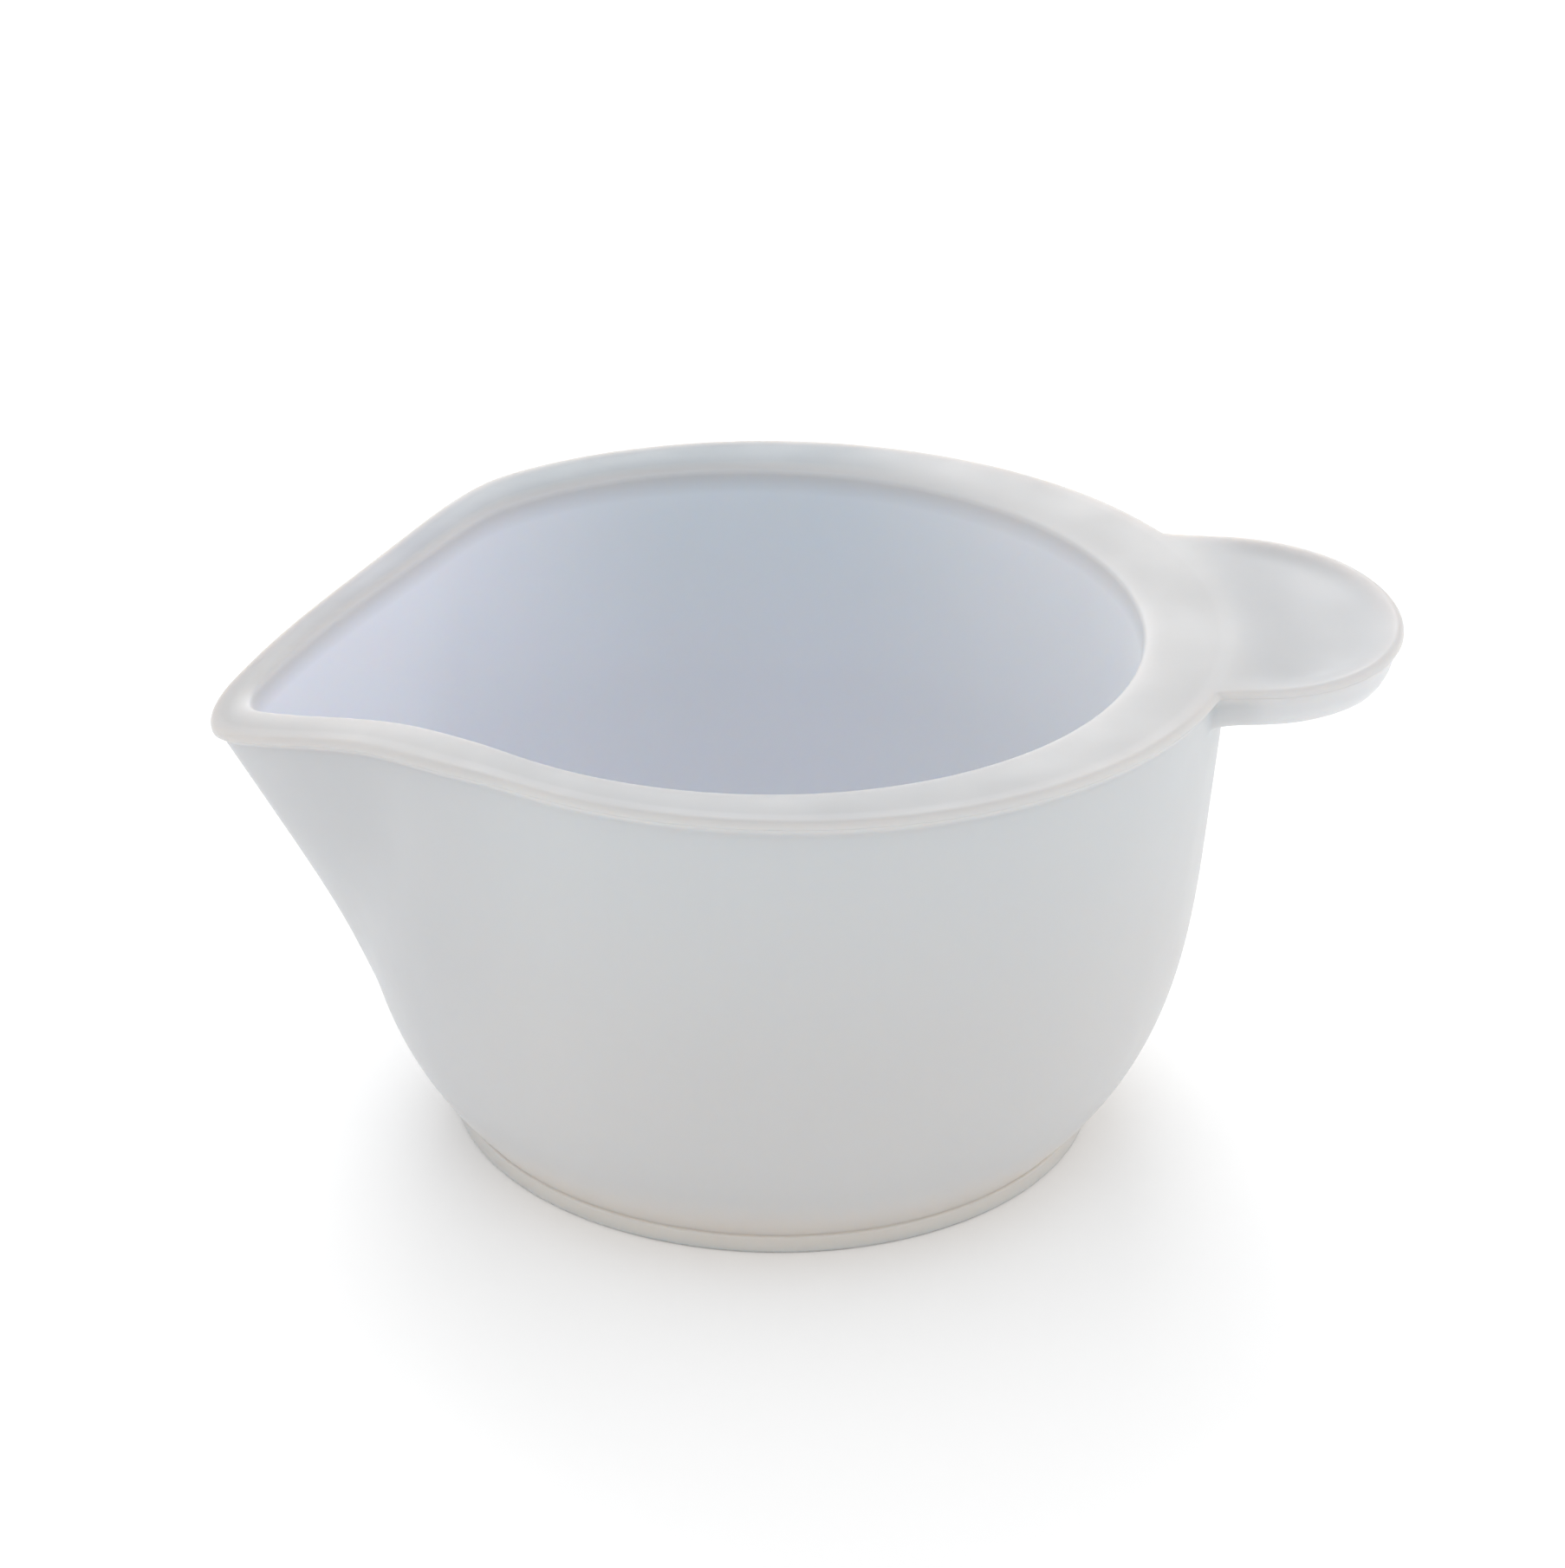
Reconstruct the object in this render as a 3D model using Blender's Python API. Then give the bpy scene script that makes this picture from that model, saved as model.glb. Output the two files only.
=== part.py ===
"""Small pouring cup for mixing, moulded in one piece from translucent silicone.

A round bowl on a low foot, with a V-shaped pouring spout at one side and a flat
finger tab at the other.  Metres, +Z up.  The origin is the middle of the foot's
underside; the tab points along +X and the spout along -X.
"""
import math

import bmesh
import bpy
from mathutils import Matrix, Vector
from mathutils.geometry import interpolate_bezier

# Bowl, outside
CUP_HEIGHT = 0.0305
RIM_RADIUS = 0.0254
WALL_DRAFT = math.radians(4.0)
BELLY_TOP_DEPTH = 0.0125
BELLY_START_ANGLE = math.radians(47.0)
BELLY_LOWER_PULL = 0.0066
BELLY_UPPER_PULL = 0.0070
FOOT_RADIUS = 0.01875
FOOT_HEIGHT = 0.0011
FOOT_STEP = 0.00025
FOOT_CHAMFER = 0.0002

# Bowl, inside
WALL = 0.0032
CAVITY_SHIFT = 0.0010
FLOOR = 0.0030
FLOOR_FLAT_RADIUS = 0.0100
CAVITY_LOWER_PULL = 0.0075
CAVITY_UPPER_PULL = 0.0095

# Rim
LIP_PROUD = 0.00035
LIP_HEIGHT = 0.0009
LIP_FILLET = 0.00025
RIM_OUTER_ROUND = 0.0005
RIM_INNER_ROUND = 0.0010

# Spout
SPOUT_LENGTH = 0.0064
SPOUT_NOSE_RADIUS = 0.0050
SPOUT_NOSE_DEPTH = 0.0061
SPOUT_RIDGE_LEAN = math.radians(29.8)
SPOUT_FLANK_HOLLOW = 0.0007
SPOUT_DIP_RUN = 0.0155
SPOUT_DIP_SLOPE = 0.20
SPOUT_DIP_CURVE = 11.5
SPOUT_DIP_EASE = 0.0010
DIP_BLEND_TOP = 0.0022
DIP_BLEND_DEPTH = 0.0185

# Finger tab
TAB_LENGTH = 0.0100
TAB_WIDTH = 0.0216
TAB_END_LENGTH = 0.0095
TAB_THICKNESS = 0.0024
TAB_DROP = 0.0001
TAB_DRAFT = 0.0006
TAB_EDGE_ROUND = 0.0005
TAB_ROOT_DEPTH = 0.0020

# Fineness of the mesh
RING_STEPS = 88
RING_CROWDING = 0.45
CURVE_POINTS = 9
WALL_ROWS = 4
ROUND_STEPS = 3
TAB_END_STEPS = 24
TAB_EDGE_STEPS = 2
DIP_ROUNDS = 6
SHARP_ANGLE = math.radians(40.0)
MERGE_DISTANCE = 1e-6


def clear_scene():
    for thing in list(bpy.data.objects):
        bpy.data.objects.remove(thing, do_unlink=True)


def silicone():
    """Milky silicone: pale, faintly blue, with a soft satin surface."""
    material = bpy.data.materials.new("milky_silicone")
    material.use_nodes = True
    shader = material.node_tree.nodes["Principled BSDF"]
    shader.inputs["Base Color"].default_value = (0.70, 0.73, 0.76, 1.0)
    shader.inputs["Roughness"].default_value = 0.45
    shader.inputs["Metallic"].default_value = 0.0
    return material


def draft_inset(height):
    """How far the straight wall leans in at this height, from its radius at the rim."""
    return (CUP_HEIGHT - height) * math.tan(WALL_DRAFT)


def bezier(start, start_pull, end_pull, end, count):
    knots = [Vector((x, 0.0, z)) for x, z in (start, start_pull, end_pull, end)]
    return [(point.x, point.z) for point in interpolate_bezier(*knots, count)]


def belly_curve():
    """The outer belly, from the top of the foot to the bottom of the straight wall."""
    top = CUP_HEIGHT - BELLY_TOP_DEPTH
    start = (FOOT_RADIUS - FOOT_STEP, FOOT_HEIGHT)
    end = (RIM_RADIUS - draft_inset(top), top)
    start_pull = (
        start[0] + BELLY_LOWER_PULL * math.cos(BELLY_START_ANGLE),
        start[1] + BELLY_LOWER_PULL * math.sin(BELLY_START_ANGLE),
    )
    end_pull = (
        end[0] - BELLY_UPPER_PULL * math.sin(WALL_DRAFT),
        end[1] - BELLY_UPPER_PULL * math.cos(WALL_DRAFT),
    )
    return bezier(start, start_pull, end_pull, end, CURVE_POINTS)


BELLY = belly_curve()


def outer_radius(height):
    """Radius of the plain round outside of the bowl at a height."""
    if height >= BELLY[-1][1]:
        return RIM_RADIUS - draft_inset(height)
    for (low_radius, low), (high_radius, high) in zip(BELLY, BELLY[1:]):
        if height <= high:
            share = max(0.0, (height - low) / (high - low))
            return low_radius + share * (high_radius - low_radius)
    return BELLY[-1][0]


def inner_radius(height):
    return outer_radius(height) - WALL


def round_corner(centre, radius, start, end):
    """Points of an arc in the profile plane, angles in degrees from +X."""
    points = []
    for step in range(ROUND_STEPS + 1):
        angle = math.radians(start + (end - start) * step / ROUND_STEPS)
        points.append((centre[0] + radius * math.cos(angle), centre[1] + radius * math.sin(angle)))
    return points


def wall_heights(start, end):
    """Heights of the rows between two ends of the straight wall."""
    return [start + (end - start) * row / WALL_ROWS for row in range(1, WALL_ROWS)]


def bowl_profile():
    """Closed half-section: underside, foot, belly, wall, lip, rim, cavity and floor."""
    rim_top = CUP_HEIGHT
    lip_base = rim_top - LIP_HEIGHT
    lip_radius = RIM_RADIUS + LIP_PROUD
    belly_top = BELLY[-1][1]
    cavity_rim = inner_radius(rim_top)

    points = [(0.0, 0.0), (FOOT_RADIUS * 0.5, 0.0), (FOOT_RADIUS - FOOT_CHAMFER, 0.0)]
    points += [(FOOT_RADIUS, FOOT_CHAMFER), (FOOT_RADIUS, FOOT_HEIGHT)]
    points += BELLY
    points += [(outer_radius(z), z) for z in wall_heights(belly_top, lip_base)]
    points += [(outer_radius(lip_base - LIP_FILLET), lip_base - LIP_FILLET)]
    points += [(lip_radius, lip_base)]
    outer_centre = (lip_radius - RIM_OUTER_ROUND, rim_top - RIM_OUTER_ROUND)
    points += round_corner(outer_centre, RIM_OUTER_ROUND, 0.0, 90.0)
    inner_centre = (cavity_rim + RIM_INNER_ROUND, rim_top - RIM_INNER_ROUND)
    points += round_corner(inner_centre, RIM_INNER_ROUND, 90.0, 180.0)
    cavity_top = rim_top - RIM_INNER_ROUND
    points += [(inner_radius(z), z) for z in wall_heights(cavity_top, belly_top)]

    cavity_wall = (inner_radius(belly_top), belly_top)
    floor_edge = (FLOOR_FLAT_RADIUS, FLOOR)
    wall_pull = (cavity_wall[0], belly_top - CAVITY_UPPER_PULL)
    floor_pull = (FLOOR_FLAT_RADIUS + CAVITY_LOWER_PULL, FLOOR)
    points += bezier(cavity_wall, wall_pull, floor_pull, floor_edge, CURVE_POINTS)
    points += [(FLOOR_FLAT_RADIUS * 0.5, FLOOR), (0.0, FLOOR)]
    return points


def turned_bowl():
    """Spin the half-section round Z, starting at the spout."""
    bowl = bmesh.new()
    section = [bowl.verts.new((-radius, 0.0, height)) for radius, height in bowl_profile()]
    edges = [bowl.edges.new(pair) for pair in zip(section, section[1:])]
    bmesh.ops.spin(
        bowl,
        geom=section + edges,
        cent=(0.0, 0.0, 0.0),
        axis=(0.0, 0.0, 1.0),
        angle=2.0 * math.pi,
        steps=RING_STEPS,
        use_merge=True,
        use_duplicate=False,
    )
    bmesh.ops.remove_doubles(bowl, verts=bowl.verts, dist=MERGE_DISTANCE)
    bmesh.ops.recalc_face_normals(bowl, faces=bowl.faces)
    return bowl


def shift_cavity(bowl):
    """Set the cavity a little toward the spout, which leaves the wall thickest at the tab."""
    for vertex in bowl.verts:
        radius = math.hypot(vertex.co.x, vertex.co.y)
        height = vertex.co.z
        inside_wall = radius < outer_radius(height) - WALL * 0.5
        if inside_wall and height > FLOOR * 0.5:
            vertex.co.x -= CAVITY_SHIFT


def spout_distance(angle, height, offset):
    """Distance from the axis to the wall in the direction `angle` from the spout.

    In plan each flank is tangent to the round bowl and ends in a round nose.  `offset` is
    measured square to the outer surface: negative is into the wall.
    """
    wall = outer_radius(height)
    nose_height = CUP_HEIGHT - SPOUT_NOSE_DEPTH
    nose = RIM_RADIUS + SPOUT_LENGTH + (height - nose_height) * math.tan(SPOUT_RIDGE_LEAN)
    if nose <= wall:
        return wall + offset
    corner = (nose - SPOUT_NOSE_RADIUS) / (1.0 - SPOUT_NOSE_RADIUS / wall)
    spread = math.acos(wall / corner)
    nose_radius = SPOUT_NOSE_RADIUS + offset
    nose_centre = (corner * (wall + offset) / wall) - nose_radius / math.cos(spread)
    nose_edge = math.atan2(
        nose_radius * math.sin(spread),
        nose_centre + nose_radius * math.cos(spread),
    )
    if nose_radius > 0.0 and abs(angle) < nose_edge:
        across = nose_centre * math.sin(angle)
        return nose_centre * math.cos(angle) + math.sqrt(nose_radius ** 2 - across ** 2)
    past_flank = max(0.0, spread - abs(angle))
    flank = spread - max(0.0, nose_edge)
    drawn_out = min(1.0, (nose - wall) / SPOUT_LENGTH)
    hollow = drawn_out * SPOUT_FLANK_HOLLOW * math.sin(math.pi * past_flank / flank) ** 2
    return (wall + offset) / math.cos(past_flank) - hollow


def spout_dip(along):
    """How far the rim falls at a distance along the spout's axis."""
    run = along - (RIM_RADIUS + SPOUT_LENGTH - SPOUT_DIP_RUN)
    if abs(run) < SPOUT_DIP_EASE:
        run = (run + SPOUT_DIP_EASE) ** 2 / (4.0 * SPOUT_DIP_EASE)
    run = max(0.0, run)
    return SPOUT_DIP_SLOPE * run + SPOUT_DIP_CURVE * run ** 2


def dip_share(height):
    """1 at the rim, 0 below the part of the wall that the dip squeezes down."""
    top = CUP_HEIGHT - DIP_BLEND_TOP
    low = CUP_HEIGHT - DIP_BLEND_DEPTH
    return min(1.0, max(0.0, (height - low) / (top - low)))


def form_spout(bowl):
    """Draw the wall out into the spout and let the rim fall toward its nose."""
    for vertex in bowl.verts:
        radius = math.hypot(vertex.co.x, vertex.co.y)
        if radius < MERGE_DISTANCE:
            continue
        turn = math.atan2(vertex.co.y, -vertex.co.x)
        angle = turn - RING_CROWDING * math.sin(turn)
        offset = radius - outer_radius(vertex.co.z)
        height = vertex.co.z
        for _ in range(DIP_ROUNDS):
            distance = spout_distance(angle, height, offset)
            drop = dip_share(vertex.co.z) * spout_dip(distance * math.cos(angle))
            height = vertex.co.z - drop
        vertex.co = (-distance * math.cos(angle), distance * math.sin(angle), height)


def tab_outline():
    """Plan of the tab: straight sides from inside the wall, then a half-ellipse end."""
    half = TAB_WIDTH * 0.5
    end_centre = RIM_RADIUS + TAB_LENGTH - TAB_END_LENGTH
    root = math.sqrt(RIM_RADIUS ** 2 - half ** 2) - TAB_ROOT_DEPTH
    points = [(root, -half)]
    for step in range(TAB_END_STEPS + 1):
        angle = math.pi * (step / TAB_END_STEPS - 0.5)
        points.append((end_centre + TAB_END_LENGTH * math.cos(angle), half * math.sin(angle)))
    points.append((root, half))
    return points


def finger_tab():
    """The tab as a solid slab with rounded edges, its root sunk in the wall."""
    tab = bmesh.new()
    plan = tab_outline()
    root = plan[0][0]
    top = CUP_HEIGHT - TAB_DROP
    outline = [tab.verts.new((x, y, top)) for x, y in plan]
    slab = tab.faces.new(outline)
    sunk = bmesh.ops.extrude_face_region(tab, geom=[slab])["geom"]
    lower = [item for item in sunk if isinstance(item, bmesh.types.BMVert)]
    bmesh.ops.translate(tab, verts=lower, vec=(0.0, 0.0, -TAB_THICKNESS))
    reach = RIM_RADIUS + TAB_LENGTH - root
    draft = (1.0 - TAB_DRAFT / reach, 1.0 - TAB_DRAFT / (TAB_WIDTH * 0.5), 1.0)
    bmesh.ops.scale(tab, vec=draft, space=Matrix.Translation((-root, 0.0, 0.0)), verts=lower)
    bmesh.ops.recalc_face_normals(tab, faces=tab.faces)
    rims = [edge for edge in tab.edges if edge.verts[0].co.z == edge.verts[1].co.z]
    bmesh.ops.bevel(
        tab,
        geom=rims,
        affect="EDGES",
        offset=TAB_EDGE_ROUND,
        segments=TAB_EDGE_STEPS,
        profile=0.5,
        material=-1,
    )
    return tab


def add_object(name, mesh_data, material):
    mesh = bpy.data.meshes.new(name)
    mesh_data.to_mesh(mesh)
    mesh_data.free()
    mesh.materials.append(material)
    mesh.shade_smooth()
    mesh.set_sharp_from_angle(angle=SHARP_ANGLE)
    thing = bpy.data.objects.new(name, mesh)
    bpy.context.scene.collection.objects.link(thing)
    return thing


def build():
    clear_scene()
    material = silicone()
    bowl = turned_bowl()
    shift_cavity(bowl)
    form_spout(bowl)
    cup = add_object("mixing_bowl", bowl, material)
    tab = add_object("tab_shape", finger_tab(), material)
    tab.hide_render = True
    tab.display_type = "WIRE"
    join = cup.modifiers.new("moulded_tab", "BOOLEAN")
    join.operation = "UNION"
    join.solver = "EXACT"
    join.object = tab


build()
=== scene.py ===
import math

import bmesh
import bpy
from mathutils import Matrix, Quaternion, Vector
from mathutils.geometry import interpolate_bezier


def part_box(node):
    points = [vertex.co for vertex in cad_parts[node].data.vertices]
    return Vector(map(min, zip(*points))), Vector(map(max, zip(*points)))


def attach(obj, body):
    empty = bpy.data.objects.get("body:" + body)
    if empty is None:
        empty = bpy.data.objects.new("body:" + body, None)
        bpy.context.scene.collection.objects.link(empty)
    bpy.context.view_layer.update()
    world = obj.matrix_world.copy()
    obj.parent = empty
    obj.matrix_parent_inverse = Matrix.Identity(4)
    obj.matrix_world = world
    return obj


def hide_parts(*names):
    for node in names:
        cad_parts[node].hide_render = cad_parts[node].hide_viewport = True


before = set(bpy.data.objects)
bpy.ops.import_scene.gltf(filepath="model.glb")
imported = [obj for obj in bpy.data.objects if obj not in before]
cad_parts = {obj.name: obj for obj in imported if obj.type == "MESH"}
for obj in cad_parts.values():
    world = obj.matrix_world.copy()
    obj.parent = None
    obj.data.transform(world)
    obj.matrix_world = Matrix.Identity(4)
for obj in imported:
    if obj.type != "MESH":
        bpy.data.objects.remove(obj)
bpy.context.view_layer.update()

# Small pouring cup for mixing, moulded in one piece from milky silicone.  The foot
# stands on z = 0, the finger tab points along +X and the spout along -X.  Metres.

cup_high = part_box("mixing_bowl")[1]

# Lip.  An offset is measured out from the wall's outside, and is negative in the wall.  The
# rows of the soft foot are shares of LIP_PROUD out, and of LIP_FOOT down from LIP_HEIGHT.
LIP_PROUD = 0.00035
LIP_HEIGHT = 0.00044
LIP_ROUND = 0.00040
LIP_FOOT = 0.00046
LIP_FOOT_SHAPE = ((0.75, 0.35), (1.0, -0.2))

# Rim.  Its top is all but flat from the lip to the crown, and then falls to the cavity.  The
# hollow in it is only a trace, and has faded out at the tab.  The overshoot lets the fall
# meet the cavity's wall at a slight slope.
RIM_HOLLOW = 0.00001
RIM_HOLLOW_INNER = -0.00130
RIM_HOLLOW_FADE = (math.radians(24.0), math.radians(38.0))
RIM_CROWN = -0.00140
RIM_FALL = 0.00055
RIM_OVERSHOOT = 0.00003

# Bowl
CUP_HEIGHT = cup_high.z
RIM_RADIUS = cup_high.y - LIP_PROUD
WALL_DRAFT = math.radians(4.0)
BELLY_TOP_DEPTH = 0.0125
BELLY_START_ANGLE = math.radians(47.0)
BELLY_LOWER_PULL = 0.0066
BELLY_UPPER_PULL = 0.0070
FOOT_RADIUS = 0.01875
FOOT_HEIGHT = 0.0011
FOOT_STEP = 0.00020
FOOT_EDGE = 0.00020
FOOT_TOP_EDGE = 0.00012
WALL = 0.0038
FLOOR = 0.0030
FLOOR_FLAT_RADIUS = 0.0100
CAVITY_LOWER_PULL = 0.0075
CAVITY_UPPER_PULL = 0.0095

# The cavity is shifted towards the spout.  Across the rim the shift grows from nothing,
# starting at SHIFT_START.  Below UNDERSIDE_HEIGHT there is no cavity.
CAVITY_SHIFT = 0.0012
SHIFT_START = RIM_HOLLOW_INNER * 0.4
UNDERSIDE_HEIGHT = FLOOR * 0.5

# Spout.  The ridge eases into the belly, and is a plain straight line once it stands
# SPOUT_RIDGE_CLEAR eases out.  The dip is the fall of the rim, and the blend is how far down
# the wall gives way with it.
SPOUT_LENGTH = 0.0064
SPOUT_NOSE_RADIUS = 0.0050
SPOUT_NOSE_DEPTH = 0.0061
SPOUT_RIDGE_LEAN = math.radians(29.8)
SPOUT_RIDGE_EASE = 0.0008
SPOUT_RIDGE_CLEAR = 30.0
SPOUT_FLANK_HOLLOW = 0.0007
SPOUT_DIP_RUN = 0.0155
SPOUT_DIP_SLOPE = 0.20
SPOUT_DIP_CURVE = 11.5
SPOUT_DIP_EASE = 0.0010
DIP_BLEND_TOP = 0.0022
DIP_BLEND_DEPTH = 0.0185
DIP_ROUNDS = 8

# Finger tab.  In plan its sides run on to TAB_CORNER on its rounded end.
TAB_WIDTH = 0.0216
TAB_REACH = cup_high.x
TAB_END_LENGTH = 0.0094
TAB_THICKNESS = 0.0025
TAB_DROP = 0.0001
TAB_DRAFT = 0.00025
TAB_UNDER_ROUND = 0.0009
TAB_CORNER = math.radians(48.0)
TAB_DISH = 0.00048
TAB_BEAD = 0.0003
TAB_DISH_SLOPE = 0.0017
TAB_ROOT_SLOPE = 0.0052

# The lip's step under the tab's edge is full over this run at the tip, and only a share of
# that along the sides
TAB_STEP_RUN = 0.0035
TAB_SIDE_STEP = 0.25

# Shares of the way out at which the step at the root has gone and the drop is reached, how
# soon the columns crowd towards the sides, and how closely the sides keep to the root
TAB_ROOT_STEP_END = 0.3
TAB_DROP_END = 0.4
TAB_CROWD_RATE = 3.0
TAB_ROOT_HOLD = 10

# Colours of the silicone, by place on the cup, with painted shade and light on the rim, the tab
# and the inside
MILKY_LOW = (0.550, 0.550, 0.550)
MILKY_HIGH = (0.550, 0.570, 0.585)
MILKY_WARM = (0.640, 0.600, 0.558)
MILKY_SPOUT = (0.475, 0.485, 0.500)
# Painted shade on the rim's top, darker than the walls, less of it towards the tab and the spout
RIM_PAINTED_SHADE = (0.350, 0.357, 0.367)
RIM_ENDS_PAINTED_SHADE = (0.405, 0.405, 0.408)
# Painted shade on the tab's top and painted light on its side: shaded and lit copies of one
# silicone
TAB_TOP_PAINTED_SHADE = (0.392, 0.398, 0.410)
TAB_SIDE_PAINTED_LIGHT = (0.600, 0.620, 0.640)
# Painted shade on the rim's top at the back, darker and bluer, a little lighter towards the spout
BACK_RIM_PAINTED_SHADE = (0.262, 0.291, 0.318)
BACK_RIM_PAINTED_SHADE_AT_SPOUT = (0.318, 0.330, 0.365)
# The inside: the silicone's bluish tone, lightened with painted light against the shade in the
# hollow; lightest low down, towards the spout and beside the tab
CAVITY_LOW = (0.695, 0.715, 0.765)
CAVITY_HIGH = (0.595, 0.645, 0.695)
CAVITY_SPOUT = (0.725, 0.750, 0.815)
CAVITY_TAB = (0.730, 0.745, 0.770)
CLOUD = (0.60, 0.60, 0.60)

# Heights where one colour gives way to the next; the rim's are counted from its top
WALL_TINT_LOW = 0.012
WARM_HEIGHT = 0.0055
RIM_TINT = (-0.00100, 0.00020)

# The same for the inside colour and its painted light, in depths under the top of the rim
CAVITY_TINT = (0.00005, 0.0010)

# The same in distances along X
OUTER_SPOUT_TINT = (-0.012, -0.024)
SPOUT_TINT = (-0.003, -0.020)
TAB_SIDE_TINT = (0.003, 0.019)
RIM_TAB_TINT = (0.002, 0.022)
TAB_TINT = (0.0246, 0.0264)

# The strip of painted shade, darker and bluer, on top of the rim at the back of the cup: how
# far in from the outside it begins and ends, and the sines and cosines of the direction from
# the spout over which it comes in, at the back and past the tab
BACK_SHADE_BEGIN = (0.0, 0.0008)
BACK_SHADE_END = (0.0026, 0.0036)
BACK_SHADE_BACK_SINES = (0.0, 0.55)
BACK_SHADE_PAST_TAB = (-0.55, -0.10)

# The rim's painted shade fades on the rounded edge of the lip at the front: by how much, over
# which offsets, and over which sines of the direction from the spout
FRONT_LIP_FADE = 0.40
FRONT_LIP_BAND = (-0.0001, 0.0003)
FRONT_SPAN = (-0.2, 0.6)

# Clouds in the silicone, patches in its sheen and the grain of its skin: the size and detail
# of each noise, the span of it that is used, and what it does
CLOUDS = (0.014, 2.0)
CLOUD_SPAN = (0.3, 0.7)
CLOUD_SHARE = 0.10
PATCHES = (0.006, 4.0)
PATCH_SPAN = (0.25, 0.75)
PATCH_ROUGHNESS = (0.36, 0.48)
GRAIN = (0.0009, 3.0)
GRAIN_STRENGTH = 0.12
GRAIN_DEPTH = 0.00006

# How far red, green and blue light travels in the silicone, in shares of the depth
SCATTER_REACH = (1.0, 0.8, 0.65)
SCATTER_DEPTH = 0.0020
SILICONE_IOR = 1.41

# Fineness of the mesh: round the cup, out along the tab, and along the section
COLUMNS = 128
TAB_COLUMNS = 14
TAB_RINGS = 10
BELLY_TABLE_ROWS = 120
UNDERSIDE_SHARES = (0.0, 0.3, 0.6, 0.85, 0.96)
FOOT_ROWS = 3
FOOT_TOP_ROWS = 2
BELLY_ROWS = 16
WALL_ROWS = 7
TAB_ROUND_ANGLES = (0.0, 30.0, 55.0, 90.0)
LIP_ROWS = 4
RIM_TOP_ROWS = 5
RIM_FALL_ROWS = 7
CAVITY_WALL_ROWS = 9
CAVITY_ROWS = 16
FLOOR_SHARES = (0.75, 0.5, 0.25, 0.0)
MERGE_DISTANCE = 1e-6

# Floor, light and camera
STUDIO_FLOOR_SIZE = 2.0
STUDIO_FLOOR_COLOUR = (0.96, 0.96, 0.96, 1.0)
STUDIO_FLOOR_ROUGHNESS = 0.9
STUDIO_FLOOR_GLOSS = 0.1
SURROUND_COLOUR = (1.0, 1.0, 1.0, 1.0)
SURROUND_STRENGTH = 1.1
BACK_LIGHT_PLACE = (-0.06, 0.72, 0.50)
BACK_LIGHT_TARGET = (0.0, 0.0, 0.02)
BACK_LIGHT_SIZE = 0.6
BACK_LIGHT_WATTS = 3.2
CAMERA_TURN = math.radians(-3.91)
CAMERA_RISE = math.radians(26.83)
CAMERA_ROLL = math.radians(1.045)
CAMERA_DISTANCE = 0.2527
CAMERA_LENS = 101.31
CAMERA_SENSOR = 36.0
CAMERA_CLIP = 0.01
CAMERA_TARGET = Vector((0.00033, 0.0, 0.01975))


def smooth_step(value, start, end):
    """0 before the start and 1 past the end, with a smooth change between them."""
    share = min(1.0, max(0.0, (value - start) / (end - start)))
    return share * share * (3.0 - 2.0 * share)


def arc(centre, across, up, start, end, count):
    """Points of a rounded corner in the section, with angles in degrees from outward."""
    points = []
    for step in range(count + 1):
        angle = math.radians(start + (end - start) * step / count)
        points.append((centre[0] + across * math.cos(angle), centre[1] + up * math.sin(angle)))
    return points


def spread_heights(start, end, count):
    """Heights strictly between two ends, evenly spaced."""
    return [start + (end - start) * row / count for row in range(1, count)]


def bezier(start, start_pull, end_pull, end, count):
    """Points of a curve in the section that leaves and arrives along its two pulls."""
    knots = [Vector((x, 0.0, z)) for x, z in (start, start_pull, end_pull, end)]
    return [(point.x, point.z) for point in interpolate_bezier(*knots, count)]


def draft_inset(height):
    """How far the drafted wall lies inside the rim's radius at a height."""
    return (CUP_HEIGHT - height) * math.tan(WALL_DRAFT)


def belly_curve(count):
    """Outer belly, from the top of the foot to the bottom of the straight wall."""
    top = CUP_HEIGHT - BELLY_TOP_DEPTH
    start = (FOOT_RADIUS - FOOT_STEP, FOOT_HEIGHT)
    end = (RIM_RADIUS - draft_inset(top), top)
    start_pull = (
        start[0] + BELLY_LOWER_PULL * math.cos(BELLY_START_ANGLE),
        start[1] + BELLY_LOWER_PULL * math.sin(BELLY_START_ANGLE),
    )
    end_pull = (
        end[0] - BELLY_UPPER_PULL * math.sin(WALL_DRAFT),
        end[1] - BELLY_UPPER_PULL * math.cos(WALL_DRAFT),
    )
    return bezier(start, start_pull, end_pull, end, count)


BELLY_TABLE = belly_curve(BELLY_TABLE_ROWS)


def outer_radius(height):
    """Radius of the plain round outside of the bowl at a height."""
    if height >= BELLY_TABLE[-1][1]:
        return RIM_RADIUS - draft_inset(height)
    for (low_radius, low), (high_radius, high) in zip(BELLY_TABLE, BELLY_TABLE[1:]):
        if height <= high:
            share = max(0.0, (height - low) / (high - low))
            return low_radius + share * (high_radius - low_radius)
    return BELLY_TABLE[-1][0]


def tab_side_depths():
    """Depths under the rim of the rows that the tab's side needs below its lip."""
    round_top = TAB_THICKNESS - TAB_UNDER_ROUND
    depths = [LIP_HEIGHT + LIP_FOOT, (LIP_HEIGHT + LIP_FOOT + round_top) / 2.0]
    for angle in TAB_ROUND_ANGLES:
        depths.append(round_top + TAB_UNDER_ROUND * math.sin(math.radians(angle)))
    return depths


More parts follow.
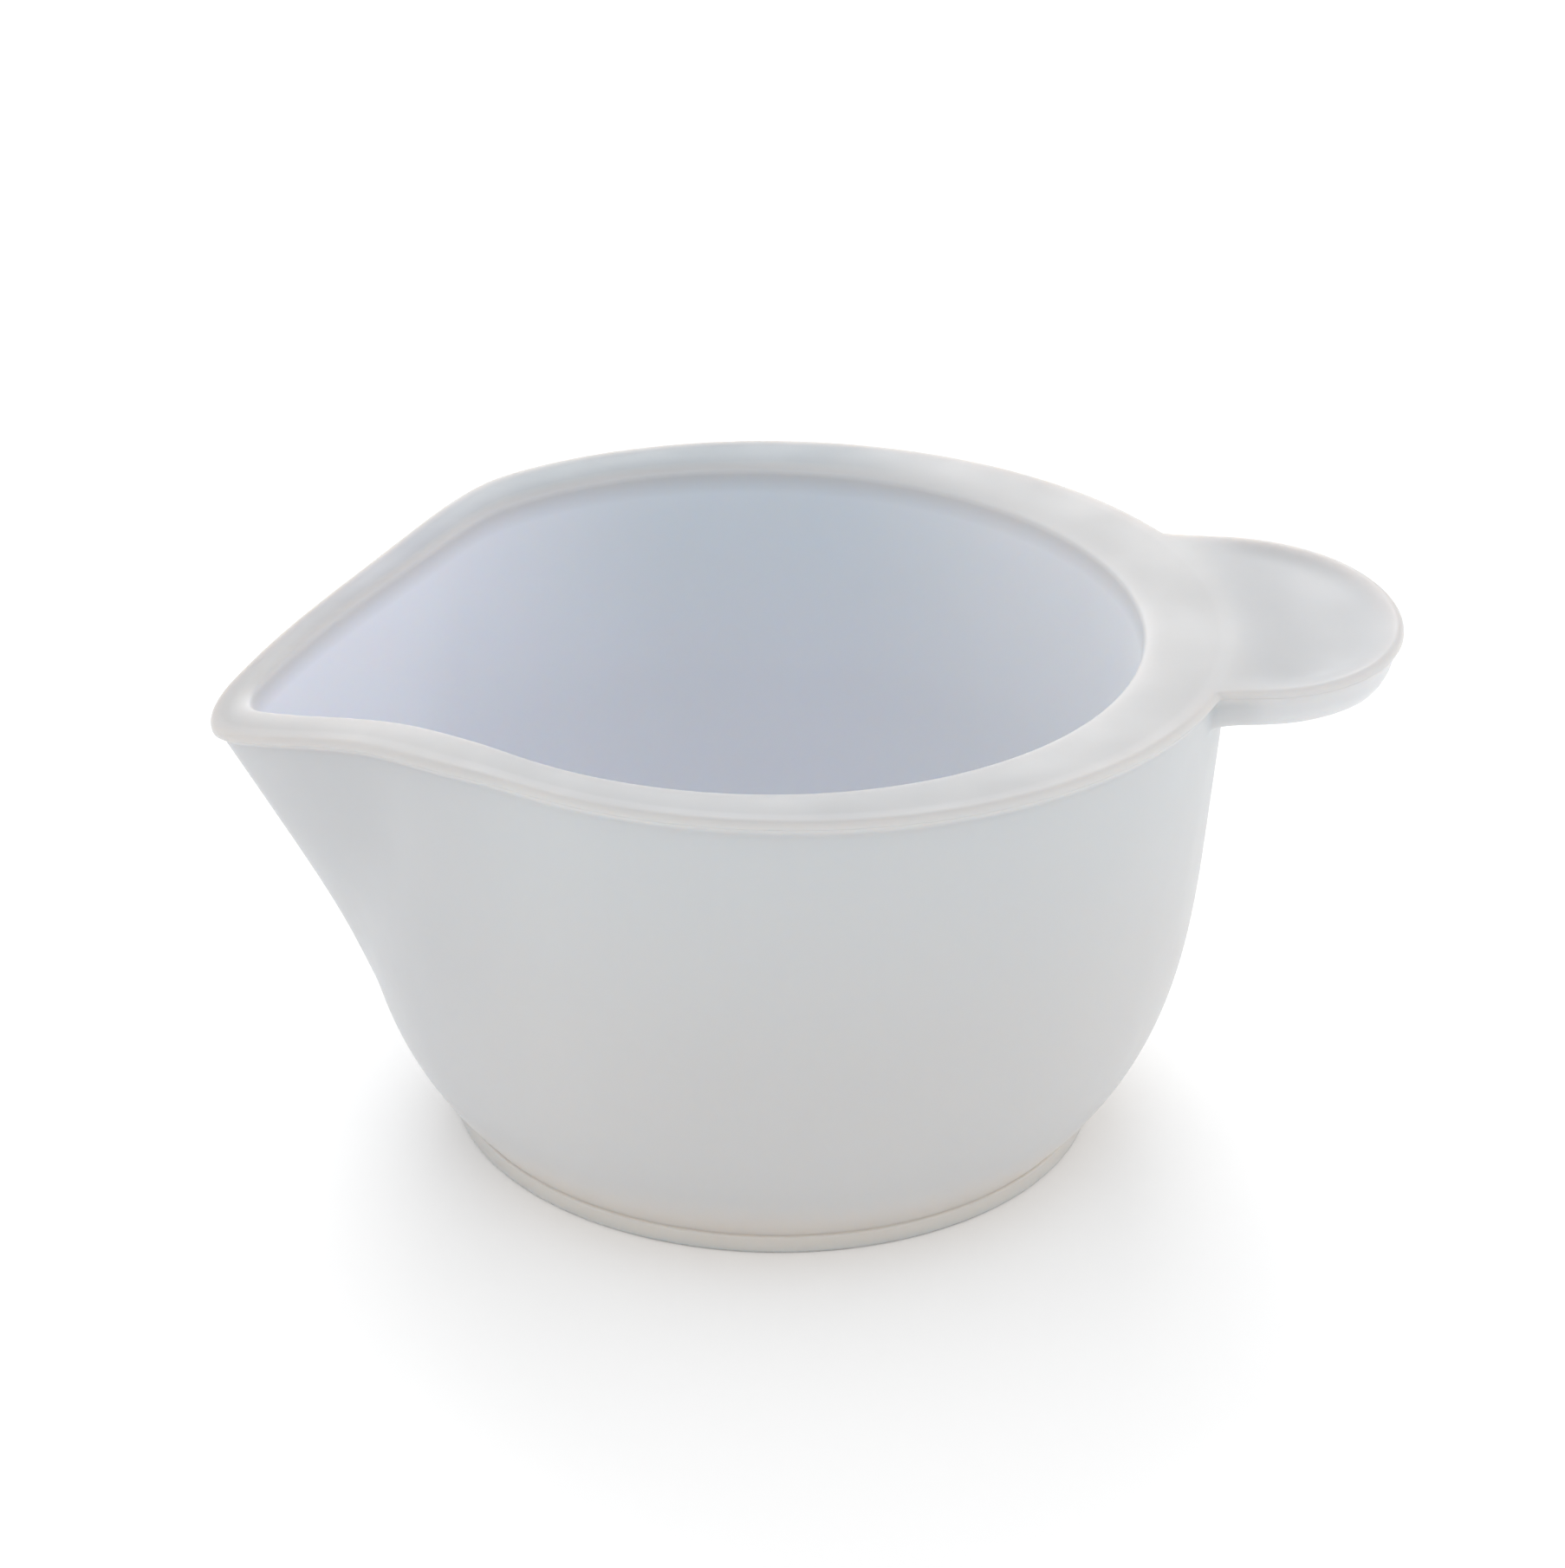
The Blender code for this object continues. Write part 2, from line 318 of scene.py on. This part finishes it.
def rim_section():
    """Rim as (offset, depth) pairs, from the foot of the lip over the top to the cavity."""
    points = [(LIP_PROUD * out, LIP_HEIGHT + LIP_FOOT * down) for out, down in LIP_FOOT_SHAPE]
    points.append((LIP_PROUD, (LIP_HEIGHT + LIP_ROUND) / 2.0))
    lip_centre = (LIP_PROUD - LIP_ROUND, -LIP_ROUND)
    lip = arc(lip_centre, LIP_ROUND, LIP_ROUND, 0.0, 90.0, LIP_ROWS)
    points += [(x, -z) for x, z in lip]
    top_start = points[-1][0]
    for step in range(1, RIM_TOP_ROWS):
        share = step / RIM_TOP_ROWS
        offset = top_start + (RIM_HOLLOW_INNER - top_start) * share
        points.append((offset, RIM_HOLLOW * math.sin(math.pi * share) ** 2))
    reach = RIM_CROWN + WALL + RIM_OVERSHOOT
    stop = 90.0 + math.degrees(math.asin((RIM_CROWN + WALL) / reach))
    fall = arc((RIM_CROWN, -RIM_FALL), reach, RIM_FALL, 90.0, stop, RIM_FALL_ROWS)
    points += [(x, -z) for x, z in fall]
    return points


def bowl_section():
    """Closed half-section: underside, foot, belly, wall, rim, cavity and floor."""
    foot_top = FOOT_HEIGHT - FOOT_TOP_EDGE
    low_edge = (FOOT_RADIUS - FOOT_EDGE, FOOT_EDGE)
    high_edge = (FOOT_RADIUS - FOOT_TOP_EDGE, foot_top)
    points = [(FOOT_RADIUS * share, 0.0) for share in UNDERSIDE_SHARES]
    points += arc(low_edge, FOOT_EDGE, FOOT_EDGE, -90.0, 0.0, FOOT_ROWS)
    points += [(FOOT_RADIUS, z) for z in spread_heights(FOOT_EDGE, foot_top, FOOT_ROWS)]
    points += arc(high_edge, FOOT_TOP_EDGE, FOOT_TOP_EDGE, 0.0, 90.0, FOOT_TOP_ROWS)
    belly = belly_curve(BELLY_ROWS)
    belly_top = belly[-1][1]
    points += belly

    side_depths = tab_side_depths()
    wall_heights = spread_heights(belly_top, CUP_HEIGHT - side_depths[-1], WALL_ROWS)
    wall_heights += [CUP_HEIGHT - depth for depth in reversed(side_depths)]
    points += [(outer_radius(z), z) for z in wall_heights]
    rim = rim_section()
    points += [(RIM_RADIUS + offset, CUP_HEIGHT - depth) for offset, depth in rim]

    cavity_heights = spread_heights(CUP_HEIGHT - rim[-1][1], belly_top, CAVITY_WALL_ROWS)
    points += [(outer_radius(z) - WALL, z) for z in cavity_heights]
    cavity_wall = (outer_radius(belly_top) - WALL, belly_top)
    floor_edge = (FLOOR_FLAT_RADIUS, FLOOR)
    wall_pull = (cavity_wall[0], belly_top - CAVITY_UPPER_PULL)
    floor_pull = (FLOOR_FLAT_RADIUS + CAVITY_LOWER_PULL, FLOOR)
    points += bezier(cavity_wall, wall_pull, floor_pull, floor_edge, CAVITY_ROWS)
    points += [(FLOOR_FLAT_RADIUS * share, FLOOR) for share in FLOOR_SHARES]
    return points


def turned_bowl():
    """Spin the half-section round Z, starting at the spout."""
    bowl = bmesh.new()
    section = [bowl.verts.new((-radius, 0.0, height)) for radius, height in bowl_section()]
    edges = [bowl.edges.new(pair) for pair in zip(section, section[1:])]
    bmesh.ops.spin(
        bowl,
        geom=section + edges,
        cent=(0.0, 0.0, 0.0),
        axis=(0.0, 0.0, 1.0),
        angle=2.0 * math.pi,
        steps=COLUMNS,
        use_merge=True,
        use_duplicate=False,
    )
    bmesh.ops.remove_doubles(bowl, verts=bowl.verts, dist=MERGE_DISTANCE)
    bmesh.ops.recalc_face_normals(bowl, faces=bowl.faces)
    return bowl


# Directions of the tab's root, as it is and among even columns, and how far the columns crowd
TAB_ROOT_ANGLE = math.asin(TAB_WIDTH * 0.5 / RIM_RADIUS)
TAB_ROOT_TURN = 2.0 * math.pi * TAB_COLUMNS / COLUMNS
CROWDING = 2.0 * (TAB_ROOT_TURN - TAB_ROOT_ANGLE) / math.sin(2.0 * TAB_ROOT_TURN)


def column_angle(turn):
    """Direction of a column: closer together at the spout and the tab, one on each tab side."""
    return turn - CROWDING * math.sin(2.0 * turn) * 0.5


def ridge_distance(height, wall):
    """Distance from the axis to the spout's ridge, eased into the belly where it starts."""
    nose_height = CUP_HEIGHT - SPOUT_NOSE_DEPTH
    nose = RIM_RADIUS + SPOUT_LENGTH + (height - nose_height) * math.tan(SPOUT_RIDGE_LEAN)
    ahead = (nose - wall) / SPOUT_RIDGE_EASE
    if ahead > SPOUT_RIDGE_CLEAR:
        return nose
    return wall + SPOUT_RIDGE_EASE * math.log1p(math.exp(ahead))


def spout_distance(angle, height, offset):
    """Distance from the axis to the wall in the direction `angle` from the spout.

    In plan each flank is tangent to the round bowl and ends in a round nose.  `offset` is
    measured square to the outer surface: negative is into the wall.
    """
    wall = outer_radius(height)
    nose = ridge_distance(height, wall)
    if nose - wall < MERGE_DISTANCE:
        return wall + offset
    corner = (nose - SPOUT_NOSE_RADIUS) / (1.0 - SPOUT_NOSE_RADIUS / wall)
    spread = math.acos(wall / corner)
    nose_radius = SPOUT_NOSE_RADIUS + offset
    nose_centre = (corner * (wall + offset) / wall) - nose_radius / math.cos(spread)
    nose_edge = math.atan2(
        nose_radius * math.sin(spread),
        nose_centre + nose_radius * math.cos(spread),
    )
    if nose_radius > 0.0 and abs(angle) < nose_edge:
        across = nose_centre * math.sin(angle)
        return nose_centre * math.cos(angle) + math.sqrt(nose_radius ** 2 - across ** 2)
    past_flank = max(0.0, spread - abs(angle))
    flank = spread - max(0.0, nose_edge)
    drawn_out = min(1.0, (nose - wall) / SPOUT_LENGTH)
    hollow = drawn_out * SPOUT_FLANK_HOLLOW * math.sin(math.pi * past_flank / flank) ** 2
    return (wall + offset) / math.cos(past_flank) - hollow


def spout_dip(along):
    """How far the rim falls at a distance along the spout's axis."""
    run = along - (RIM_RADIUS + SPOUT_LENGTH - SPOUT_DIP_RUN)
    if abs(run) < SPOUT_DIP_EASE:
        run = (run + SPOUT_DIP_EASE) ** 2 / (4.0 * SPOUT_DIP_EASE)
    run = max(0.0, run)
    return SPOUT_DIP_SLOPE * run + SPOUT_DIP_CURVE * run ** 2


def dip_share(height):
    """1 at the rim, 0 below the part of the wall that the dip squeezes down."""
    top = CUP_HEIGHT - DIP_BLEND_TOP
    low = CUP_HEIGHT - DIP_BLEND_DEPTH
    return min(1.0, max(0.0, (height - low) / (top - low)))


def cavity_share(offset, height):
    """Share of the cavity's shift: 0 on the outside and the lip, 1 on its wall and floor."""
    if height < UNDERSIDE_HEIGHT:
        return 0.0
    return min(1.0, max(0.0, (SHIFT_START - offset) / (WALL + SHIFT_START)))


def inside_tint(offset, height):
    """Share of the inside colour, with its painted light, at a point of the turned section."""
    if height < UNDERSIDE_HEIGHT or offset > RIM_CROWN:
        return 0.0
    return smooth_step(CUP_HEIGHT - height, *CAVITY_TINT)


def rim_tint(offset, height, angle):
    """Share of the rim's painted shade, darker than the walls; at the front it fades over the
    rounded edge of the lip.

    It stays whole on the inner side of the rim and in the cavity, where the inside colour is
    mixed over it.
    """
    if offset < RIM_CROWN * 0.5 and height > CUP_HEIGHT * 0.5:
        return 1.0
    front = smooth_step(-math.sin(angle), *FRONT_SPAN)
    fade = FRONT_LIP_FADE * front * smooth_step(offset, *FRONT_LIP_BAND)
    return (1.0 - fade) * smooth_step(height - CUP_HEIGHT, *RIM_TINT)


def back_rim_shade_share(offset, height, angle):
    """Share of the painted shade, darker and bluer, on the top of the rim at the back of the cup.
    """
    if height < UNDERSIDE_HEIGHT:
        return 0.0
    back = smooth_step(math.sin(angle), *BACK_SHADE_BACK_SINES) * smooth_step(math.cos(angle), *BACK_SHADE_PAST_TAB)
    begun = smooth_step(-offset, *BACK_SHADE_BEGIN)
    return back * begun * (1.0 - smooth_step(-offset, *BACK_SHADE_END))


def shape_bowl(bowl):
    """Thin the wall towards the spout, draw the spout out and let the rim fall to its nose.

    The shares of the colours are written first, by where a point lies on the turned shape.
    """
    cavity = bowl.verts.layers.float.new("cavity")
    back_rim_shade_layer = bowl.verts.layers.float.new("painted_back_rim_shade")
    rim = bowl.verts.layers.float.new("rim")
    for vertex in bowl.verts:
        radius = math.hypot(vertex.co.x, vertex.co.y)
        offset = radius - outer_radius(vertex.co.z)
        inside = cavity_share(offset, vertex.co.z)
        turn = math.atan2(vertex.co.y, -vertex.co.x) if radius > MERGE_DISTANCE else 0.0
        angle = column_angle(turn)
        vertex[cavity] = inside_tint(offset, vertex.co.z)
        vertex[back_rim_shade_layer] = back_rim_shade_share(offset, vertex.co.z, angle)
        vertex[rim] = rim_tint(offset, vertex.co.z, angle)
        hollow = CUP_HEIGHT - vertex.co.z
        if RIM_HOLLOW_INNER < offset < 0.0 and 0.0 < hollow <= RIM_HOLLOW:
            hollow *= smooth_step(math.pi - abs(angle), *RIM_HOLLOW_FADE)
            vertex.co.z = CUP_HEIGHT - hollow
        across = radius * math.sin(angle)
        along = radius * math.cos(angle) + CAVITY_SHIFT * inside
        radius = math.hypot(along, across)
        if radius < MERGE_DISTANCE:
            vertex.co = (0.0, 0.0, vertex.co.z)
            continue
        angle = math.atan2(across, along)
        offset = radius - outer_radius(vertex.co.z)
        height = vertex.co.z
        for _ in range(DIP_ROUNDS):
            distance = spout_distance(angle, height, offset)
            drop = dip_share(vertex.co.z) * spout_dip(distance * math.cos(angle))
            height = vertex.co.z - drop
        vertex.co = (-distance * math.cos(angle), distance * math.sin(angle), height)


def tab_outline_point(angle, inset):
    """Point of the tab's end, a half-ellipse, in from the outline by `inset`."""
    end_centre = TAB_REACH - TAB_END_LENGTH
    return Vector((
        end_centre + (TAB_END_LENGTH - inset) * math.cos(angle),
        (TAB_WIDTH * 0.5 - inset) * math.sin(angle),
    ))


def tab_side_point(side, share, inset, root):
    """Point along one side of the tab, from its root on the wall to the end's corner."""
    end_start = TAB_REACH - TAB_END_LENGTH
    straight = end_start - RIM_RADIUS * math.cos(TAB_ROOT_ANGLE)
    curved = (math.pi * 0.5 - TAB_CORNER) * TAB_WIDTH * 0.5
    run = share * (straight + curved)
    edge = side * (TAB_WIDTH * 0.5 - inset)
    first = Vector((end_start - straight, edge))
    if run < straight:
        point = Vector((end_start - straight + run, edge))
    else:
        angle = math.pi * 0.5 - (run - straight) / (TAB_WIDTH * 0.5)
        point = tab_outline_point(side * angle, inset)
    return point + (root - first) * (1.0 - share) ** TAB_ROOT_HOLD


def tab_plan(across, out, inset, wall_radius):
    """Plan of the tab: `across` runs from -1 to 1 and `out` from 0 at the wall to 1 at the tip."""
    def root(share):
        angle = TAB_ROOT_ANGLE * share
        return Vector((wall_radius * math.cos(angle), wall_radius * math.sin(angle)))

    def tip(share):
        return tab_outline_point(TAB_CORNER * share, inset)

    right = (across + 1.0) * 0.5
    left = 1.0 - right
    ends = root(across) * (1.0 - out) + tip(across) * out
    sides = tab_side_point(-1.0, out, inset, root(-1.0)) * left
    sides += tab_side_point(1.0, out, inset, root(1.0)) * right
    corners = (root(-1.0) * left + root(1.0) * right) * (1.0 - out)
    corners += (tip(-1.0) * left + tip(1.0) * right) * out
    return ends + sides - corners


def tab_inset(depth, step):
    """How far the tab's side lies inside its lip, at a depth under the rim."""
    if depth <= LIP_HEIGHT:
        return 0.0
    foot = min(1.0, (depth - LIP_HEIGHT) / LIP_FOOT)
    drafted = max(0.0, depth - LIP_HEIGHT) / (TAB_THICKNESS - LIP_HEIGHT)
    inset = step * foot + TAB_DRAFT * drafted
    rounding = (depth - (TAB_THICKNESS - TAB_UNDER_ROUND)) / TAB_UNDER_ROUND
    if rounding > 0.0:
        inset += TAB_UNDER_ROUND * (1.0 - math.sqrt(max(0.0, 1.0 - rounding ** 2)))
    return inset


def tab_dish(plan):
    """How far the tab's top lies under its raised edge, at a point in plan."""
    ahead = max(0.0, plan.x - TAB_REACH + TAB_END_LENGTH) / TAB_END_LENGTH
    from_edge = (1.0 - math.hypot(ahead, plan.y / (TAB_WIDTH * 0.5))) * TAB_END_LENGTH
    from_root = plan.length - RIM_RADIUS
    edge = smooth_step(from_edge, TAB_BEAD, TAB_BEAD + TAB_DISH_SLOPE)
    return TAB_DISH * edge * smooth_step(from_root, 0.0, TAB_ROOT_SLOPE)


def grow_tab(bowl):
    """Pull the tab out of the lip and the wall under it, one ring after another."""
    key = bowl.verts.layers.int.new("tab_key")
    crown = LIP_PROUD - LIP_ROUND
    top = CUP_HEIGHT + MERGE_DISTANCE
    bottom = CUP_HEIGHT - TAB_THICKNESS - MERGE_DISTANCE

    def in_root(vertex):
        radius = math.hypot(vertex.co.x, vertex.co.y)
        on_outside = radius > outer_radius(vertex.co.z) + crown - MERGE_DISTANCE
        beside = abs(math.atan2(vertex.co.y, vertex.co.x)) < TAB_ROOT_ANGLE + MERGE_DISTANCE
        return on_outside and beside and bottom < vertex.co.z < top

    strip = [face for face in bowl.faces if all(in_root(v) for v in face.verts)]
    place = {}
    for face in strip:
        for vertex in face.verts:
            across = math.atan2(vertex.co.y, vertex.co.x) / TAB_ROOT_ANGLE
            wall_radius = math.hypot(vertex.co.x, vertex.co.y)
            place[vertex] = (across, wall_radius, CUP_HEIGHT - vertex.co.z)
    keys = []
    for number, (vertex, spot) in enumerate(place.items()):
        vertex[key] = number
        keys.append(spot)
    for ring in range(1, TAB_RINGS + 1):
        out = 0.5 - 0.5 * math.cos(math.pi * ring / TAB_RINGS)
        sides = list(dict.fromkeys(edge for face in strip for edge in face.edges))
        grown = bmesh.ops.extrude_face_region(bowl, geom=strip + sides)["geom"]
        strip = [item for item in grown if isinstance(item, bmesh.types.BMFace)]
        for vertex in dict.fromkeys(v for face in strip for v in face.verts):
            across, wall_radius, depth = keys[vertex[key]]
            crowding = (math.sin(across * math.pi * 0.5) - across) * min(1.0, out * TAB_CROWD_RATE)
            crowded = across + crowding
            crown_inset = 0.0
            if depth < LIP_ROUND:
                crown_inset = max(0.0, RIM_RADIUS + LIP_PROUD - wall_radius)
            reach = tab_plan(crowded, out, 0.0, wall_radius).x
            tip = smooth_step(reach, TAB_REACH - TAB_STEP_RUN, TAB_REACH)
            root = smooth_step(out, TAB_ROOT_STEP_END, 0.0)
            step = LIP_PROUD * max(root, TAB_SIDE_STEP + (1.0 - TAB_SIDE_STEP) * tip)
            inset = crown_inset + tab_inset(depth, step)
            plan = tab_plan(crowded, out, inset, wall_radius)
            height = CUP_HEIGHT - depth - TAB_DROP * smooth_step(out, 0.0, TAB_DROP_END)
            if depth < MERGE_DISTANCE:
                height -= tab_dish(plan)
            vertex.co = (plan.x, plan.y, height)
    bmesh.ops.recalc_face_normals(bowl, faces=bowl.faces)


def pouring_cup(finish):
    """The whole moulding: bowl, foot, rim lip, spout and finger tab in one skin."""
    bowl = turned_bowl()
    shape_bowl(bowl)
    grow_tab(bowl)
    mesh = bpy.data.meshes.new("pouring_cup")
    bowl.to_mesh(mesh)
    bowl.free()
    mesh.materials.append(finish)
    mesh.shade_smooth()
    cup = bpy.data.objects.new("pouring_cup", mesh)
    bpy.context.scene.collection.objects.link(cup)
    smooth = cup.modifiers.new("soft_moulded_skin", "SUBSURF")
    smooth.levels = 1
    smooth.render_levels = 1
    return cup


def ramp(nodes, links, value, start, end, low=0.0, high=1.0):
    """Smooth change of a value from `low` to `high` while the input goes from start to end."""
    change = nodes.new("ShaderNodeMapRange")
    change.interpolation_type = "SMOOTHSTEP"
    change.inputs["From Min"].default_value = start
    change.inputs["From Max"].default_value = end
    change.inputs["To Min"].default_value = low
    change.inputs["To Max"].default_value = high
    links.new(value, change.inputs["Value"])
    return change.outputs["Result"]


def tint(nodes, links, share, first, second):
    """Mix two colours, each a colour value or a socket, by a share."""
    mix = nodes.new("ShaderNodeMix")
    mix.data_type = "RGBA"
    mix.clamp_factor = True
    links.new(share, mix.inputs["Factor"])
    for socket, colour in ((mix.inputs["A"], first), (mix.inputs["B"], second)):
        if isinstance(colour, tuple):
            socket.default_value = (*colour, 1.0)
        else:
            links.new(colour, socket)
    return mix.outputs["Result"]


def cloud(nodes, links, position, size, detail):
    """Cloudy noise whose patches are about `size` metres across."""
    noise = nodes.new("ShaderNodeTexNoise")
    noise.inputs["Scale"].default_value = 1.0 / size
    noise.inputs["Detail"].default_value = detail
    links.new(position, noise.inputs["Vector"])
    return noise.outputs["Fac"]


def painted(nodes, name):
    """Value written on the mesh under a name."""
    value = nodes.new("ShaderNodeAttribute")
    value.attribute_name = name
    return value.outputs["Fac"]


def milky_silicone():
    """Milky silicone, warm at the foot, with painted shade and light.

    The tops of the rim and the tab carry painted shade, darker again at the back of the rim, the
    tab's side carries painted light, and the bluish inside is lightened with painted light.
    """
    material = bpy.data.materials.new("milky_silicone")
    material.use_nodes = True
    nodes = material.node_tree.nodes
    links = material.node_tree.links
    shader = nodes["Principled BSDF"]

    position = nodes.new("ShaderNodeTexCoord").outputs["Object"]
    split = nodes.new("ShaderNodeSeparateXYZ")
    links.new(position, split.inputs["Vector"])
    along = split.outputs["X"]
    height = split.outputs["Z"]
    inside_share = painted(nodes, "cavity")
    back_shade_share = painted(nodes, "painted_back_rim_shade")
    rim_share = painted(nodes, "rim")

    wall_share = ramp(nodes, links, height, WALL_TINT_LOW, CUP_HEIGHT)
    outside = tint(nodes, links, wall_share, MILKY_LOW, MILKY_HIGH)
    foot_share = ramp(nodes, links, height, FOOT_HEIGHT, WARM_HEIGHT)
    outside = tint(nodes, links, foot_share, MILKY_WARM, outside)
    outer_spout = ramp(nodes, links, along, *OUTER_SPOUT_TINT)
    outside = tint(nodes, links, outer_spout, outside, MILKY_SPOUT)
    # Painted shade on the rim's top, lighter towards the tab and the spout
    rim_tab_share = ramp(nodes, links, along, *RIM_TAB_TINT)
    rim_colour = tint(nodes, links, rim_tab_share, RIM_PAINTED_SHADE, RIM_ENDS_PAINTED_SHADE)
    rim_colour = tint(nodes, links, outer_spout, rim_colour, RIM_ENDS_PAINTED_SHADE)
    outside = tint(nodes, links, rim_share, outside, rim_colour)
    # Painted shade on the rim's top at the back of the cup
    back_shade_colour = tint(nodes, links, outer_spout, BACK_RIM_PAINTED_SHADE, BACK_RIM_PAINTED_SHADE_AT_SPOUT)
    outside = tint(nodes, links, back_shade_share, outside, back_shade_colour)
    # Painted shade on the tab's top and painted light on its side
    tab_share = ramp(nodes, links, along, *TAB_TINT)
    tab_colour = tint(nodes, links, rim_share, TAB_SIDE_PAINTED_LIGHT, TAB_TOP_PAINTED_SHADE)
    outside = tint(nodes, links, tab_share, outside, tab_colour)

    # Inside: bluish tone, lightened with painted light against the shade in the hollow
    cavity = tint(nodes, links, wall_share, CAVITY_LOW, CAVITY_HIGH)
    spout_share = ramp(nodes, links, along, *SPOUT_TINT)
    cavity = tint(nodes, links, spout_share, cavity, CAVITY_SPOUT)
    tab_side_share = ramp(nodes, links, along, *TAB_SIDE_TINT)
    cavity = tint(nodes, links, tab_side_share, cavity, CAVITY_TAB)
    colour = tint(nodes, links, inside_share, outside, cavity)
    clouds = cloud(nodes, links, position, *CLOUDS)
    cloud_share = ramp(nodes, links, clouds, *CLOUD_SPAN, 0.0, CLOUD_SHARE)
    colour = tint(nodes, links, cloud_share, colour, CLOUD)
    links.new(colour, shader.inputs["Base Color"])

    patches = cloud(nodes, links, position, *PATCHES)
    sheen = ramp(nodes, links, patches, *PATCH_SPAN, *PATCH_ROUGHNESS)
    links.new(sheen, shader.inputs["Roughness"])
    bump = nodes.new("ShaderNodeBump")
    bump.inputs["Strength"].default_value = GRAIN_STRENGTH
    bump.inputs["Distance"].default_value = GRAIN_DEPTH
    links.new(cloud(nodes, links, position, *GRAIN), bump.inputs["Height"])
    links.new(bump.outputs["Normal"], shader.inputs["Normal"])

    shader.inputs["Subsurface Weight"].default_value = 1.0
    shader.inputs["Subsurface Radius"].default_value = SCATTER_REACH
    shader.inputs["Subsurface Scale"].default_value = SCATTER_DEPTH
    shader.inputs["IOR"].default_value = SILICONE_IOR
    return material


def pale_floor():
    """A plain pale floor for the cup to stand on."""
    board = bmesh.new()
    bmesh.ops.create_grid(board, x_segments=1, y_segments=1, size=STUDIO_FLOOR_SIZE)
    mesh = bpy.data.meshes.new("floor")
    board.to_mesh(mesh)
    board.free()
    material = bpy.data.materials.new("pale_floor")
    material.use_nodes = True
    shader = material.node_tree.nodes["Principled BSDF"]
    shader.inputs["Base Color"].default_value = STUDIO_FLOOR_COLOUR
    shader.inputs["Roughness"].default_value = STUDIO_FLOOR_ROUGHNESS
    shader.inputs["Specular IOR Level"].default_value = STUDIO_FLOOR_GLOSS
    mesh.materials.append(material)
    floor = bpy.data.objects.new("floor", mesh)
    bpy.context.scene.collection.objects.link(floor)


def soft_box(name, place, target, size, watts):
    """A square studio light facing a point."""
    lamp = bpy.data.lights.new(name, "AREA")
    lamp.shape = "SQUARE"
    lamp.size = size
    lamp.energy = watts
    light = bpy.data.objects.new(name, lamp)
    light.location = place
    light.rotation_euler = (Vector(target) - Vector(place)).to_track_quat("-Z", "Y").to_euler()
    bpy.context.scene.collection.objects.link(light)


def studio_light():
    """An even pale surround, with one large soft light above and behind."""
    world = bpy.data.worlds.new("studio")
    world.use_nodes = True
    background = world.node_tree.nodes["Background"]
    background.inputs["Color"].default_value = SURROUND_COLOUR
    background.inputs["Strength"].default_value = SURROUND_STRENGTH
    bpy.context.scene.world = world
    soft_box("back_light", BACK_LIGHT_PLACE, BACK_LIGHT_TARGET, BACK_LIGHT_SIZE, BACK_LIGHT_WATTS)


def front_camera():
    """The camera stands a little to the spout's side and looks down into the cup."""
    data = bpy.data.cameras.new("front_camera")
    data.lens = CAMERA_LENS
    data.sensor_width = CAMERA_SENSOR
    data.clip_start = CAMERA_CLIP
    camera = bpy.data.objects.new("front_camera", data)
    back = Vector((
        math.sin(CAMERA_TURN) * math.cos(CAMERA_RISE),
        -math.cos(CAMERA_TURN) * math.cos(CAMERA_RISE),
        math.sin(CAMERA_RISE),
    ))
    camera.location = CAMERA_TARGET + back * CAMERA_DISTANCE
    level = (-back).to_track_quat("-Z", "Y")
    camera.rotation_mode = "QUATERNION"
    camera.rotation_quaternion = level @ Quaternion((0.0, 0.0, 1.0), CAMERA_ROLL)
    bpy.context.scene.collection.objects.link(camera)
    bpy.context.scene.camera = camera


bpy.context.scene.view_settings.view_transform = "Standard"
cup = pouring_cup(milky_silicone())
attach(cup, "root")
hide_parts("mixing_bowl")
pale_floor()
studio_light()
front_camera()
